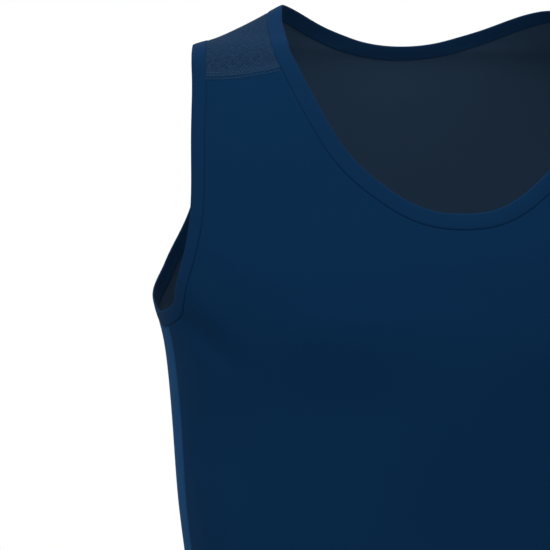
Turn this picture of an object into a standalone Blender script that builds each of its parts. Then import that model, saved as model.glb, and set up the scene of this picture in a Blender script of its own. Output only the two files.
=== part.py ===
"""A running singlet, filled out as it is worn, with no wearer inside.

Every piece of cloth is a patch of one smooth form, cut along its seams and given a real wall:
a front and a back panel, two side panels, two shoulder yokes, a neck band and two armhole bands.
The hem is the panels' own turned-up edge, so it is no piece of its own.

Metres, +Z up. The front faces -Y and the wearer's right is -X. The origin lies midway between
the two neck points, where the shoulders carry the garment.
A place on the form is (around, height): degrees from the centre front towards the wearer's
right side, and metres above the neck points.
"""

import bmesh
import bpy
import numpy as np

GARMENT = "running_singlet"

# Cloth
PANEL_WALL = 0.0012
BAND_WALL = 0.0020
BAND_WIDTH = 0.0110
SEAM_GAP = 0.0003

# Cut
HEM_HEIGHT = -0.7000
SIDE_FRONT = 82.5  # degrees around, the side panel's front seam
SIDE_BACK = 112.0  # degrees around, the side panel's back seam
YOKE_BOW = 0.0020  # how far the front yoke seam sags between its ends

# Facets
BODY_ROWS = 16
FRONT_NECK_ROWS = 12
FRONT_ARM_ROWS = 15
BACK_NECK_ROWS = 8
BACK_ARM_ROWS = 16
YOKE_ROWS = 10
YOKE_COLUMNS = 6
SIDE_COLUMNS = 5
PANEL_COLUMNS = 12
BAND_COLUMNS = 2

# Directions around, in degrees, and what turns a place or a point into its mirror image
CENTRE_FRONT = 0.0
CENTRE_BACK = 180.0
FULL_TURN = 360.0
MIRRORED = (-1, 1)
SIDES = {"right": (1, 1, 1), "left": (-1, 1, 1)}

# Working steps
LEVEL_STEPS = 4001  # heights sampled between the shoulders and the hem
SEAM_STEPS = 401  # places sampled along a stretch of seam
MOVE_STEPS = 6  # even steps in which a line moves sideways
NUDGE = np.array([(0.05, 0), (0, 0.00005)])  # a small step around, and one in height
RUN_ON = 4  # rows by which a seam runs on past each end of its table
WELD = 0.000001
MIRROR_WELD = 0.0001

# Level sections of the form, from the shoulders to the hem. front, side and back are the y of
# the centre front, of the widest place at the side and of the centre back. A section is an oval
# at squareness 0, and boxier above that.
#    height, half_width, front,  side,   back,   squareness
SECTIONS = np.array([
    (0.003, 0.0880, -0.040, -0.002, 0.036, 0.000),
    (-0.002, 0.0980, -0.046, -0.001, 0.040, 0.000),
    (-0.008, 0.1090, -0.051, 0.000, 0.045, 0.000),
    (-0.014, 0.1200, -0.056, 0.002, 0.050, 0.000),
    (-0.020, 0.1320, -0.061, 0.003, 0.055, 0.000),
    (-0.026, 0.1460, -0.066, 0.004, 0.059, 0.000),
    (-0.0315, 0.1630, -0.071, 0.005, 0.064, 0.000),
    (-0.042, 0.1800, -0.077, 0.006, 0.071, 0.002),
    (-0.062, 0.1880, -0.086, 0.006, 0.080, 0.005),
    (-0.095, 0.1910, -0.097, 0.004, 0.092, 0.010),
    (-0.135, 0.1910, -0.108, 0.001, 0.101, 0.015),
    (-0.175, 0.1905, -0.118, -0.003, 0.105, 0.020),
    (-0.205, 0.1870, -0.123, -0.005, 0.106, 0.020),
    (-0.230, 0.1805, -0.126, -0.006, 0.104, 0.020),
    (-0.262, 0.1765, -0.126, -0.008, 0.101, 0.020),
    (-0.300, 0.1738, -0.123, -0.010, 0.096, 0.020),
    (-0.345, 0.1705, -0.117, -0.011, 0.091, 0.020),
    (-0.390, 0.1650, -0.112, -0.012, 0.088, 0.020),
    (-0.450, 0.1620, -0.109, -0.012, 0.088, 0.020),
    (-0.530, 0.1680, -0.111, -0.009, 0.096, 0.020),
    (-0.610, 0.1770, -0.114, -0.006, 0.104, 0.020),
    (-0.700, 0.1820, -0.116, -0.004, 0.107, 0.020),
])

# The neck seam on the wearer's right, from the centre front to the centre back.
#    name,          around, height
NECK_SEAM = (
    ("centre front", CENTRE_FRONT, -0.1591),
    ("front scoop", 8.0, -0.1550),
    ("front bend", 15.6, -0.1408),
    ("chest", 23.6, -0.1168),
    ("upper chest", 29.5, -0.0876),
    ("collar bone", 34.2, -0.0624),
    ("front yoke", 37.0, -0.0495),
    ("front of strap", 42.7, -0.0344),
    ("front slope", 54.0, -0.0242),
    ("ridge front", 72.6, -0.0120),
    ("ridge", 93.9, -0.0067),
    ("back yoke", 114.1, -0.0071),
    ("back slope", 133.6, -0.0114),
    ("back bend", 151.5, -0.0195),
    ("nape side", 166.4, -0.0277),
    ("centre back", CENTRE_BACK, -0.0315),
)

# The armhole seam on the wearer's right, down the front and up the back.
#    name,          around, height
ARMHOLE_SEAM = (
    ("front yoke", 57.9, -0.0544),
    ("front strap", 56.5, -0.0920),
    ("front chest", 56.8, -0.1300),
    ("front bend", 59.2, -0.1660),
    ("front curve", 65.0, -0.1955),
    ("front under", 72.0, -0.2155),
    ("front side", SIDE_FRONT, -0.2227),
    ("underarm", 91.0, -0.2216),
    ("underarm back", 101.0, -0.2124),
    ("back side", SIDE_BACK, -0.2015),
    ("back curve", 121.5, -0.1860),
    ("back bend", 129.0, -0.1660),
    ("blade", 134.5, -0.1410),
    ("back strap", 136.8, -0.1100),
    ("upper back", 136.5, -0.0829),
    ("back shoulder", 134.2, -0.0536),
    ("back slope", 128.5, -0.0371),
    ("back yoke", 116.9, -0.0294),
    ("ridge", 97.6, -0.0266),
    ("ridge front", 77.6, -0.0290),
    ("front shoulder", 64.4, -0.0363),
)

# What each cloth is made of
#    name,           colour in linear light,    roughness
FINISHES = {
    "panel": ("navy jersey", (0.0048, 0.0232, 0.0612), 0.75),
    "side": ("blue jersey", (0.0103, 0.0470, 0.1170), 0.70),
    "yoke": ("navy mesh", (0.0110, 0.0325, 0.0680), 0.80),
    "band": ("navy binding", (0.0052, 0.0250, 0.0620), 0.70),
}


def spline(rows, at):
    """Natural cubic through the rows of a table, read at row numbers that may be fractions."""
    links = 4 * np.eye(len(rows) - 2) + np.eye(len(rows) - 2, k=1) + np.eye(len(rows) - 2, k=-1)
    bend = np.zeros_like(rows)
    bend[1:-1] = np.linalg.solve(links, 6 * np.diff(rows, 2, axis=0))
    row = np.clip(np.floor(at).astype(int), 0, len(rows) - 2)
    late = (at - row)[..., None]
    early = 1 - late
    straight = early * rows[row] + late * rows[row + 1]
    return straight + ((early**3 - early) * bend[row] + (late**3 - late) * bend[row + 1]) / 6


SECTION_STEPS = np.linspace(0, len(SECTIONS) - 1, LEVEL_STEPS)
SECTION_HEIGHTS = spline(SECTIONS, SECTION_STEPS)[:, 0]


def on_form(places):
    """Points of the form at places (around, height)."""
    around = np.radians(places[..., 0])
    height = places[..., 1]
    at = np.interp(-height, -SECTION_HEIGHTS, SECTION_STEPS)
    _, half_width, front, side, back, square = np.moveaxis(spline(SECTIONS, at), -1, 0)
    across = (np.sin(around) + square * np.sin(3 * around)) / (1 - square)
    along = (-np.cos(around) + square * np.cos(3 * around)) / (1 - square)
    y = side + (back - front) / 2 * along + ((back + front) / 2 - side) * along**2
    return np.stack([-half_width * across, y, height], axis=-1)


def unit(vectors):
    return vectors / np.linalg.norm(vectors, axis=-1, keepdims=True)


def stretch(table, start, end, count, run_on):
    """Places at even distances along a seam, between two of its named rows.

    run_on gives the rows before the first and after the last, which set how the seam's ends run.
    """
    names = [row[0] for row in table]
    rows = np.array([row[1:] for row in table])
    before, after = run_on(rows)
    rows = np.concatenate([before, rows, after])
    first = names.index(start)
    last = names.index(end)
    if last < first:
        last += len(names)
    fine = len(before) + np.linspace(first, last, SEAM_STEPS)
    steps = np.linalg.norm(np.diff(on_form(spline(rows, fine)), axis=0), axis=1)
    run = np.concatenate([[0], np.cumsum(steps)])
    return spline(rows, np.interp(np.linspace(0, run[-1], count + 1), run, fine))


def armhole(start, end, count):
    """A stretch of the armhole seam, which closes on itself."""
    def closed(rows):
        return rows[-RUN_ON:], rows[:RUN_ON + 1]

    return stretch(ARMHOLE_SEAM, start, end, count, closed)


def neck(start, end, count):
    """A stretch of the neck seam, which runs on as its mirror image at both ends."""
    def mirror_image(rows):
        return rows[RUN_ON:0:-1] * MIRRORED, rows[-2:-2 - RUN_ON:-1] * MIRRORED + (FULL_TURN, 0)

    return stretch(NECK_SEAM, start, end, count, mirror_image)


def straight(start, end, count, bow=0.0):
    """Places in even steps from one place to another, the middle lowered by bow."""
    share = np.linspace(0, 1, count + 1)[:, None]
    return start + (end - start) * share - 4 * share * (1 - share) * (0, bow)


def joined(*lines):
    """Lines that run on from each other, as one."""
    return np.concatenate([lines[0]] + [line[1:] for line in lines[1:]])


def moved_across(line, distance):
    """A closed line of places moved sideways over the form, towards what it goes round."""
    for _ in range(MOVE_STEPS):
        points = on_form(line)
        along = np.roll(points, -1, axis=0) - np.roll(points, 1, axis=0)
        slopes = [(on_form(line + by) - on_form(line - by)) / 2 for by in NUDGE]
        sideways = unit(np.cross(np.cross(*slopes), along)) * distance / MOVE_STEPS
        shares = (np.linalg.pinv(np.stack(slopes, axis=-1)) @ sideways[..., None])[..., 0]
        line = line + shares @ NUDGE
    return line


def patch(left, right, bottom, top):
    """Points of the form inside four lines of places: left and right run up, the others across."""
    up = np.linspace(0, 1, len(left))[:, None, None]
    over = np.linspace(0, 1, len(bottom))[None, :, None]
    sides = (1 - over) * left[:, None] + over * right[:, None]
    ends = (1 - up) * bottom[None] + up * top[None]
    corners = (1 - up) * ((1 - over) * left[0] + over * right[0])
    corners = corners + up * ((1 - over) * left[-1] + over * right[-1])
    return on_form(sides + ends - corners)


def set_back(edge, inner):
    """Draws an edge of a patch back from its seam, towards the row inside it."""
    along = unit(np.gradient(edge, axis=0))
    inward = inner - edge
    inward = inward - along * (inward * along).sum(axis=1, keepdims=True)
    edge += unit(inward) * SEAM_GAP / 2


def neck_line():
    """The whole neck seam of the wearer's right, centre front to centre back."""
    return joined(
        neck("centre front", "front yoke", FRONT_NECK_ROWS),
        neck("front yoke", "back yoke", YOKE_ROWS),
        neck("back yoke", "centre back", BACK_NECK_ROWS),
    )


def armhole_line():
    """The whole armhole seam of the wearer's right, which ends where it starts."""
    return joined(
        armhole("front yoke", "front side", FRONT_ARM_ROWS),
        armhole("front side", "back side", SIDE_COLUMNS),
        armhole("back side", "back yoke", BACK_ARM_ROWS),
        armhole("back yoke", "front yoke", YOKE_ROWS),
    )


def yoke_seams(columns):
    """The front and the back seam of a yoke, from the neck to the armhole."""
    neck_front, neck_back = neck("front yoke", "back yoke", 1)
    arm_back, arm_front = armhole("back yoke", "front yoke", 1)
    front = straight(neck_front, arm_front, columns, YOKE_BOW)
    return front, straight(neck_back, arm_back, columns)


def half_panel(centre, side, neck_edge, arm_edge, yoke_seam):
    """Half of the front or back panel, from its centre line to its side seam.

    The centre line has as many rows as the side, so it takes the spare ones above the underarm.
    """
    underarm = arm_edge[0][1]
    hem = np.array([centre, HEM_HEIGHT])
    level = np.array([centre, underarm])
    spare = len(arm_edge) - len(neck_edge)
    left = joined(
        straight(hem, level, BODY_ROWS),
        straight(level, neck_edge[0], spare),
        neck_edge,
    )
    right = joined(straight(np.array([side, HEM_HEIGHT]), arm_edge[0], BODY_ROWS), arm_edge)
    bottom = straight(left[0], right[0], PANEL_COLUMNS)
    points = patch(left, right, bottom, yoke_seam)
    corner = BODY_ROWS + spare
    set_back(points[corner:, 0], points[corner:, 1])
    set_back(points[:BODY_ROWS + 1, -1], points[:BODY_ROWS + 1, -2])
    set_back(points[BODY_ROWS:, -1], points[BODY_ROWS:, -2])
    set_back(points[-1], points[-2])
    points[:corner + 1, 0, 0] = 0  # the mirror image meets it exactly
    return points


def front_half():
    return half_panel(
        centre=CENTRE_FRONT,
        side=SIDE_FRONT,
        neck_edge=neck("centre front", "front yoke", FRONT_NECK_ROWS),
        arm_edge=armhole("front yoke", "front side", FRONT_ARM_ROWS)[::-1],
        yoke_seam=yoke_seams(PANEL_COLUMNS)[0],
    )


def back_half():
    return half_panel(
        centre=CENTRE_BACK,
        side=SIDE_BACK,
        neck_edge=neck("back yoke", "centre back", BACK_NECK_ROWS)[::-1],
        arm_edge=armhole("back side", "back yoke", BACK_ARM_ROWS),
        yoke_seam=yoke_seams(PANEL_COLUMNS)[1],
    )


def side_panel():
    top = armhole("front side", "back side", SIDE_COLUMNS)
    left = straight(np.array([SIDE_FRONT, HEM_HEIGHT]), top[0], BODY_ROWS)
    right = straight(np.array([SIDE_BACK, HEM_HEIGHT]), top[-1], BODY_ROWS)
    points = patch(left, right, straight(left[0], right[0], SIDE_COLUMNS), top)
    set_back(points[:, 0], points[:, 1])
    set_back(points[:, -1], points[:, -2])
    set_back(points[-1], points[-2])
    return points


def shoulder_yoke():
    front, back = yoke_seams(YOKE_COLUMNS)
    left = neck("front yoke", "back yoke", YOKE_ROWS)
    right = armhole("back yoke", "front yoke", YOKE_ROWS)[::-1]
    points = patch(left, right, front, back)
    set_back(points[:, 0], points[:, 1])
    set_back(points[:, -1], points[:, -2])
    set_back(points[0], points[1])
    set_back(points[-1], points[-2])
    return points


def band(seam, width):
    """A strip from a closed seam to its free edge, the last row the same as the first."""
    lines = [moved_across(seam, width * share) for share in np.linspace(0, 1, BAND_COLUMNS + 1)]
    points = on_form(np.stack(lines, axis=1))
    points = np.concatenate([points, points[:1]])
    set_back(points[:, 0], points[:, 1])
    points[-1] = points[0]
    return points


def neck_band_half():
    half = neck_line()
    ring = joined(half, (half * MIRRORED)[::-1])[:-1]
    return band(ring, BAND_WIDTH)[:len(half)]


def armhole_band():
    return band(armhole_line()[:-1], BAND_WIDTH)


def material(name, colour, roughness):
    made = bpy.data.materials.new(name)
    made.use_nodes = True
    shader = made.node_tree.nodes["Principled BSDF"]
    shader.inputs["Base Color"].default_value = (*colour, 1)
    shader.inputs["Roughness"].default_value = roughness
    shader.inputs["Metallic"].default_value = 0.0
    return made


def cloth(name, points, wall, finish, mirrored=False):
    """An object whose wall has the grid of points through its middle.

    A half is mirrored across the centre line to make the whole piece.
    """
    rows, columns = points.shape[:2]
    shape = bmesh.new()
    bmesh.ops.create_grid(shape, x_segments=columns - 1, y_segments=rows - 1, size=1)
    for corner, point in zip(shape.verts, points.reshape(-1, 3)):
        corner.co = point
    bmesh.ops.remove_doubles(shape, verts=shape.verts, dist=WELD)
    mesh = bpy.data.meshes.new(name)
    shape.to_mesh(mesh)
    shape.free()
    mesh.shade_smooth()
    mesh.materials.append(finish)
    piece = bpy.data.objects.new(name, mesh)
    if mirrored:
        mirror = piece.modifiers.new("other half", "MIRROR")
        mirror.merge_threshold = MIRROR_WELD
    solidify = piece.modifiers.new("wall", "SOLIDIFY")
    solidify.thickness = wall
    solidify.offset = 0
    return piece


def build():
    for old in list(bpy.data.objects):
        bpy.data.objects.remove(old)
    garment = bpy.data.collections.new(GARMENT)
    bpy.context.scene.collection.children.link(garment)
    finishes = {key: material(*finish) for key, finish in FINISHES.items()}
    pieces = [
        cloth("front_panel", front_half(), PANEL_WALL, finishes["panel"], mirrored=True),
        cloth("back_panel", back_half(), PANEL_WALL, finishes["panel"], mirrored=True),
        cloth("neck_band", neck_band_half(), BAND_WALL, finishes["band"], mirrored=True),
    ]
    for name, across in SIDES.items():
        pieces += [
            cloth("side_panel_" + name, side_panel() * across, PANEL_WALL, finishes["side"]),
            cloth("shoulder_yoke_" + name, shoulder_yoke() * across, PANEL_WALL, finishes["yoke"]),
            cloth("armhole_band_" + name, armhole_band() * across, BAND_WALL, finishes["band"]),
        ]
    for piece in pieces:
        garment.objects.link(piece)


build()
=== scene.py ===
"""The looks of a running singlet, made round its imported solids.

Each piece is a thin closed shell of knitted cloth on the smooth form that its solid follows, with
its seams, turned hem, folded bindings and stitches. The cloth hangs filled out as worn, with
nobody inside.

Metres, +Z up. The front faces -Y and the wearer's right is -X. A place on the form is
(around, height): degrees from the centre front towards the wearer's right side, and metres above
the neck points. A lift is a distance out of the form, along its normal.
"""

import bpy
import numpy as np
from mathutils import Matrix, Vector
from mathutils.geometry import delaunay_2d_cdt
from mathutils.kdtree import KDTree


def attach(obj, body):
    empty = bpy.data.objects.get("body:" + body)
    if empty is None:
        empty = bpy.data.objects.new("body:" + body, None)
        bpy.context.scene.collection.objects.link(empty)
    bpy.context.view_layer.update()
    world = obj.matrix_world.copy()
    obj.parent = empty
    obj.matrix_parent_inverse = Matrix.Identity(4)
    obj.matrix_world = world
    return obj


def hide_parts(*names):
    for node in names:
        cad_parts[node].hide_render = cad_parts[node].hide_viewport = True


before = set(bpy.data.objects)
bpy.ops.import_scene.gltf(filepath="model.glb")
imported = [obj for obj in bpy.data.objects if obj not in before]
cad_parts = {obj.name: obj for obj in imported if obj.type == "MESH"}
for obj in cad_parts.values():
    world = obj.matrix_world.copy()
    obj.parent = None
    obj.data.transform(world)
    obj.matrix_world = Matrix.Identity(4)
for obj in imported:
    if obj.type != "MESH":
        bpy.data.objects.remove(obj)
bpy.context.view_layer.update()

# ---- sizes

# Cut
HEM_HEIGHT = -0.7000
SIDE_FRONT = 82.5
SIDE_BACK = 112.0
FRONT_STRAP = 47.0
BACK_STRAP = 125.0
YOKE_BOW = 0.0020
CENTRE_FRONT = 0.0
CENTRE_BACK = 180.0
HALF_TURN = 180.0
FULL_TURN = 360.0
SIDES = ("right", "left")

# Cloth: one layer's faces, out and in from the form
FACE_LIFT = 0.00035
BACK_LIFT = -0.00025
HEM_TURN = 0.0200
HEM_LAYER = 0.0006
HEM_ROUND = 0.0007
HEM_STEP = 0.0006  # the width in which the inner face steps off the turned-up edge

# How far the faces dip into a seam, and in what width. "pressed" is a yoke's edge, over its
# allowances, and "yoke" is the panel's edge beside it.
#    outer,   inner,   width
DIPS = {
    "band": (0.00036, 0.00020, 0.00070),
    "side": (0.00034, 0.00020, 0.00070),
    "yoke": (0.00008, 0.00020, 0.00040),
    "pressed": (0.00008, 0.00020, 0.00022),
}
# A binding is pulled flatter up the strap, where its outer dip is a smaller share of the usual.
PULL_HEIGHTS = (-0.210, -0.045)
PULL_SHARES = (1.15, 0.30)

# Seam allowances, pressed behind the front and the back at the sides, and behind each yoke
SIDE_ALLOWANCE = 0.0058
YOKE_ALLOWANCE = 0.0050
ALLOWANCE_UNDER = 0.0012  # how far they reach past their seam the other way
ALLOWANCE_STEP = 0.0020
SIDE_CLEAR = 0.0100  # how far a side's stop below the binding's seam
ARM_CLEAR = 0.0006  # how far a yoke's stop short of the armhole band's seam
NECK_CLEAR = 0.0090  # and of the neck band's, where they would show
ALLOWANCE_TRIM = 0.0130  # the length trimmed towards an end
TRIM_NARROW = 0.12  # the share of the width left there
TRIM_THIN = 0.04  # and of the thickness
FLAT_LIFT = -0.00062  # their lift where they have thinned out
PRESSED_RIDGE = 0.00011  # how far they lift a yoke's edge
RIDGE_STEP = 0.12  # the share of their width in which that fades

# Stitches
THREAD = 0.00020  # radius
THREAD_SIDES = 6
THREAD_RINGS = 7
THREAD_BLUNT = 0.12  # how far into its taper it starts and ends
THREAD_TAPER = 0.6  # the power of its taper
THREAD_RISE = 1.1  # the rise of its middle over its ends, in radii
THREAD_SUNK = 0.25  # how far its ends lie under the face, in radii
YOKE_SUNK = 0.2  # and how much farther in a yoke
YOKE_STITCH = 0.0026
YOKE_ROWS_AT = (0.0025, 0.0001, -0.0024)  # metres into the yoke from its seam
LOOPER_STITCH = 0.0013  # from one slanting thread to the next
LOOPER_THREAD = 0.00011
HEM_STITCH = 0.0030
HEM_ROWS_AT = (0.0158, 0.0190)
STITCH_SPARE = 0.04  # share of the pitch without thread

# The stretches of the hem, from seam to seam
#    start, end
HEM_STRETCHES = {
    "front": (-SIDE_FRONT, SIDE_FRONT),
    "back": (SIDE_BACK, FULL_TURN - SIDE_BACK),
    "right": (SIDE_FRONT, SIDE_BACK),
    "left": (-SIDE_BACK, -SIDE_FRONT),
}

# Kinds of seam, round a panel's half from its neck to the hem, and at the left, right, bottom and
# top of a side panel and of a yoke
PANEL_SEAMS = ("band", "yoke", "band", "side")
SIDE_SEAMS = ("side", "side", "hem", "band")
YOKE_SEAMS = ("band", "band", "pressed", "pressed")

# Places in a piece's finishes, after its face and its reverse
OVERLOCK_FINISH = 2
BACKED_FINISH = 3

# Mesh
EDGE_STEP = 0.0015
INNER_STEP = 0.0036
LADDER = (0.0003, 0.0007, 0.0012, 0.0019, 0.0029, 0.0043)  # from a panel's edge to its rungs
RUNG_CLEAR = 0.96  # the share of that which they keep from all seams
INNER_CLEAR = 0.4  # the share of a step between them and the rest
JOIN_NEAR = 1e-7
YOKE_MESH = (110, 96)
SIDE_MESH = (240, 44)
GRADING = 0.85  # from 0 to 1, how much closer its rows lie at its edges
NECK_STATIONS = 620
ARM_STATIONS = 460
LEVEL_STEPS = 4001
AROUND_STEPS = 241
SEAM_STEPS = 601
DENSE_STEP = 0.0003  # along a line that distances are taken to
MOVE_STEPS = 4
NUDGE = np.array([(0.05, 0), (0, 0.00005)])  # around and in height, to find slopes by
RUN_ON = 4  # rows that set how a seam's ends run
TABLE_COLUMNS = 721
TABLE_ROWS = 360
TABLE_SPARE = 0.002  # how far the tables reach below the hem
LAST_CELL = 1.001  # keeps a reading inside a table's last cell

# Level sections of the form. front, side and back are the y of the centre front, of the widest
# place at the side and of the centre back. A section is an oval at squareness 0, and boxier above.
#    height, half_width, front,  side,   back,   squareness
SECTIONS = np.array([
    (0.003, 0.0880, -0.040, -0.002, 0.036, 0.000),
    (-0.002, 0.0980, -0.046, -0.001, 0.040, 0.000),
    (-0.008, 0.1090, -0.051, 0.000, 0.045, 0.000),
    (-0.014, 0.1200, -0.056, 0.002, 0.050, 0.000),
    (-0.020, 0.1320, -0.061, 0.003, 0.055, 0.000),
    (-0.026, 0.1460, -0.066, 0.004, 0.059, 0.000),
    (-0.0315, 0.1630, -0.071, 0.005, 0.064, 0.000),
    (-0.042, 0.1800, -0.077, 0.006, 0.071, 0.002),
    (-0.062, 0.1880, -0.086, 0.006, 0.080, 0.005),
    (-0.095, 0.1910, -0.097, 0.004, 0.092, 0.010),
    (-0.135, 0.1910, -0.108, 0.001, 0.101, 0.015),
    (-0.175, 0.1905, -0.118, -0.003, 0.105, 0.020),
    (-0.205, 0.1870, -0.123, -0.005, 0.106, 0.020),
    (-0.230, 0.1805, -0.126, -0.006, 0.104, 0.020),
    (-0.262, 0.1765, -0.126, -0.008, 0.101, 0.020),
    (-0.300, 0.1738, -0.123, -0.010, 0.096, 0.020),
    (-0.345, 0.1705, -0.117, -0.011, 0.091, 0.020),
    (-0.390, 0.1650, -0.112, -0.012, 0.088, 0.020),
    (-0.450, 0.1620, -0.109, -0.012, 0.088, 0.020),
    (-0.530, 0.1680, -0.111, -0.009, 0.096, 0.020),
    (-0.610, 0.1770, -0.114, -0.006, 0.104, 0.020),
    (-0.700, 0.1820, -0.116, -0.004, 0.107, 0.020),
])

# The neck seam on the wearer's right, from the centre front to the centre back.
#    name,          around, height
NECK_SEAM = (
    ("centre front", CENTRE_FRONT, -0.1591),
    ("front scoop", 8.0, -0.1550),
    ("front bend", 15.6, -0.1408),
    ("chest", 23.6, -0.1168),
    ("upper chest", 29.5, -0.0876),
    ("collar bone", 34.2, -0.0624),
    ("front yoke", 37.0, -0.0495),
    ("front of strap", 42.7, -0.0344),
    ("front slope", 54.0, -0.0242),
    ("ridge front", 72.6, -0.0120),
    ("ridge", 93.9, -0.0067),
    ("back yoke", 114.1, -0.0071),
    ("back slope", 133.6, -0.0114),
    ("back bend", 151.5, -0.0195),
    ("nape side", 166.4, -0.0277),
    ("centre back", CENTRE_BACK, -0.0315),
)

# The armhole seam on the wearer's right, down the front and up the back.
#    name,          around, height
ARMHOLE_SEAM = (
    ("front yoke", 57.9, -0.0544),
    ("front strap", 56.5, -0.0920),
    ("front chest", 56.8, -0.1300),
    ("front bend", 59.2, -0.1660),
    ("front curve", 65.0, -0.1955),
    ("front under", 72.0, -0.2155),
    ("front side", SIDE_FRONT, -0.2227),
    ("underarm", 91.0, -0.2216),
    ("underarm back", 101.0, -0.2124),
    ("back side", SIDE_BACK, -0.2015),
    ("back curve", 121.5, -0.1860),
    ("back bend", 129.0, -0.1660),
    ("blade", 134.5, -0.1410),
    ("back strap", 136.8, -0.1100),
    ("upper back", 136.5, -0.0829),
    ("back shoulder", 134.2, -0.0536),
    ("back slope", 128.5, -0.0371),
    ("back yoke", 116.9, -0.0294),
    ("ridge", 97.6, -0.0266),
    ("ridge front", 77.6, -0.0290),
    ("front shoulder", 64.4, -0.0363),
)

# A binding's section, from its seam over the outside, round the free edge and back inside
#    across,  lift,     finish
BINDING = (
    (0.00002, -0.00014, 0),
    (0.00008, 0.00020, 0),
    (0.00024, 0.00046, 0),
    (0.00060, 0.00062, 0),
    (0.00150, 0.00071, 0),
    (0.00500, 0.00076, 0),
    (0.00850, 0.00072, 0),
    (0.01000, 0.00062, 0),
    (0.01068, 0.00042, 0),
    (0.01094, 0.00006, 0),
    (0.01080, -0.00034, 1),
    (0.01010, -0.00060, 1),
    (0.00850, -0.00068, 1),
    (0.00400, -0.00074, 1),
    (0.00120, -0.00088, 1),
    (0.00010, -0.00102, 1),
    (-0.00070, -0.00104, 1),
    (-0.00095, -0.00090, 1),
    (-0.00070, -0.00076, 1),
    (-0.00010, -0.00068, 1),
    (0.00002, -0.00060, 1),
)

# A seam allowance's section: two edges overlocked together
#    share of width, lift
OVERLOCK = (
    (0.00, -0.00064),
    (0.50, -0.00066),
    (0.88, -0.00062),
    (0.97, -0.00070),
    (1.00, -0.00092),
    (0.97, -0.00118),
    (0.88, -0.00128),
    (0.50, -0.00118),
    (0.00, -0.00104),
    (-0.04, -0.00084),
)

# The soft folds. run is in degrees from straight down towards more around, half_length and
# half_width are where it has faded, and a depth below 0 is a trough.
#    name,                   around, height, run,  half_length, half_width, depth
FOLDS = (
    ("strap hollow right", 47.0, -0.045, 86.0, 0.045, 0.033, -0.0014),
    ("strap rise right", 45.0, -0.112, 84.0, 0.045, 0.03, 0.0012),
    ("strap hollow left", -47.0, -0.043, -86.0, 0.045, 0.033, -0.0013),
    ("strap rise left", -45.0, -0.115, -84.0, 0.045, 0.03, 0.0011),
    ("underarm drag right", 65.5, -0.228, -56.0, 0.03, 0.0088, -0.0021),
    ("underarm roll right", 60.0, -0.208, -50.0, 0.036, 0.011, 0.001),
    ("underarm drag left", -66.0, -0.231, 51.0, 0.027, 0.0095, -0.0018),
    ("underarm roll left", -59.0, -0.212, 46.0, 0.033, 0.0105, 0.0009),
    ("chest edge right", 28.0, -0.227, -88.0, 0.048, 0.017, 0.0011),
    ("chest edge left", -30.0, -0.231, 85.0, 0.044, 0.018, 0.0009),
    ("under chest right", 28.0, -0.274, -87.0, 0.05, 0.033, -0.004),
    ("under chest left", -31.0, -0.278, 83.0, 0.047, 0.031, -0.0034),
    ("midriff right", 34.0, -0.308, -86.0, 0.07, 0.052, -0.004),
    ("midriff left", -36.0, -0.311, 84.0, 0.066, 0.05, -0.0035),
    ("flank trough right", 62.0, -0.292, -80.0, 0.04, 0.048, -0.0034),
    ("flank trough left", -61.0, -0.296, 78.0, 0.038, 0.046, -0.003),
    ("flank ridge right", 61.0, -0.335, -6.0, 0.07, 0.012, 0.0009),
    ("flank hollow right", 47.0, -0.38, -12.0, 0.06, 0.014, -0.0008),
    ("flank ridge left", -58.0, -0.35, 9.0, 0.064, 0.013, 0.0009),
    ("flank hollow left", -44.0, -0.37, 5.0, 0.056, 0.015, -0.0007),
    ("waist drag right", 57.0, -0.45, 62.0, 0.04, 0.011, -0.0016),
    ("waist drag left", -63.0, -0.462, -55.0, 0.044, 0.0105, -0.0014),
    ("waist roll right", 50.0, -0.468, 66.0, 0.036, 0.011, 0.0009),
    ("front flute right", 33.0, -0.63, 4.0, 0.11, 0.016, 0.0019),
    ("front trough right", 16.0, -0.65, 2.0, 0.1, 0.015, -0.0017),
    ("front flute middle", -4.0, -0.64, -3.0, 0.12, 0.017, 0.0014),
    ("front trough left", -21.0, -0.66, -4.0, 0.09, 0.014, -0.0019),
    ("front flute left", -41.0, -0.635, -7.0, 0.115, 0.018, 0.0021),
    ("side trough right", 66.0, -0.66, 6.0, 0.085, 0.015, -0.0016),
    ("side trough left", -72.0, -0.648, -3.0, 0.095, 0.016, -0.0018),
    ("back arm drag right", 128.0, -0.22, 42.0, 0.044, 0.01, -0.0015),
    ("back arm roll right", 134.0, -0.205, 40.0, 0.04, 0.011, 0.001),
    ("back arm drag left", -126.0, -0.226, -47.0, 0.04, 0.011, -0.0014),
    ("back arm roll left", -133.0, -0.209, -44.0, 0.038, 0.01, 0.0009),
    ("small of the back", 176.0, -0.428, 86.0, 0.07, 0.013, -0.0018),
    ("small of the back roll", 171.0, -0.453, 84.0, 0.062, 0.012, 0.0012),
    ("small of the back low", 186.0, -0.479, -83.0, 0.056, 0.012, -0.0014),
    ("back flute right", 141.0, -0.63, -5.0, 0.11, 0.017, 0.002),
    ("back trough right", 158.0, -0.645, -3.0, 0.1, 0.016, -0.0018),
    ("back flute middle", 177.0, -0.635, 2.0, 0.12, 0.018, 0.0017),
    ("back trough left", -164.0, -0.655, 3.0, 0.09, 0.015, -0.002),
    ("back flute left", -146.0, -0.63, 6.0, 0.11, 0.017, 0.0018),
)
METRES_ROUND = 0.00267  # for a degree around, near enough for the folds

# ---- the form


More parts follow.
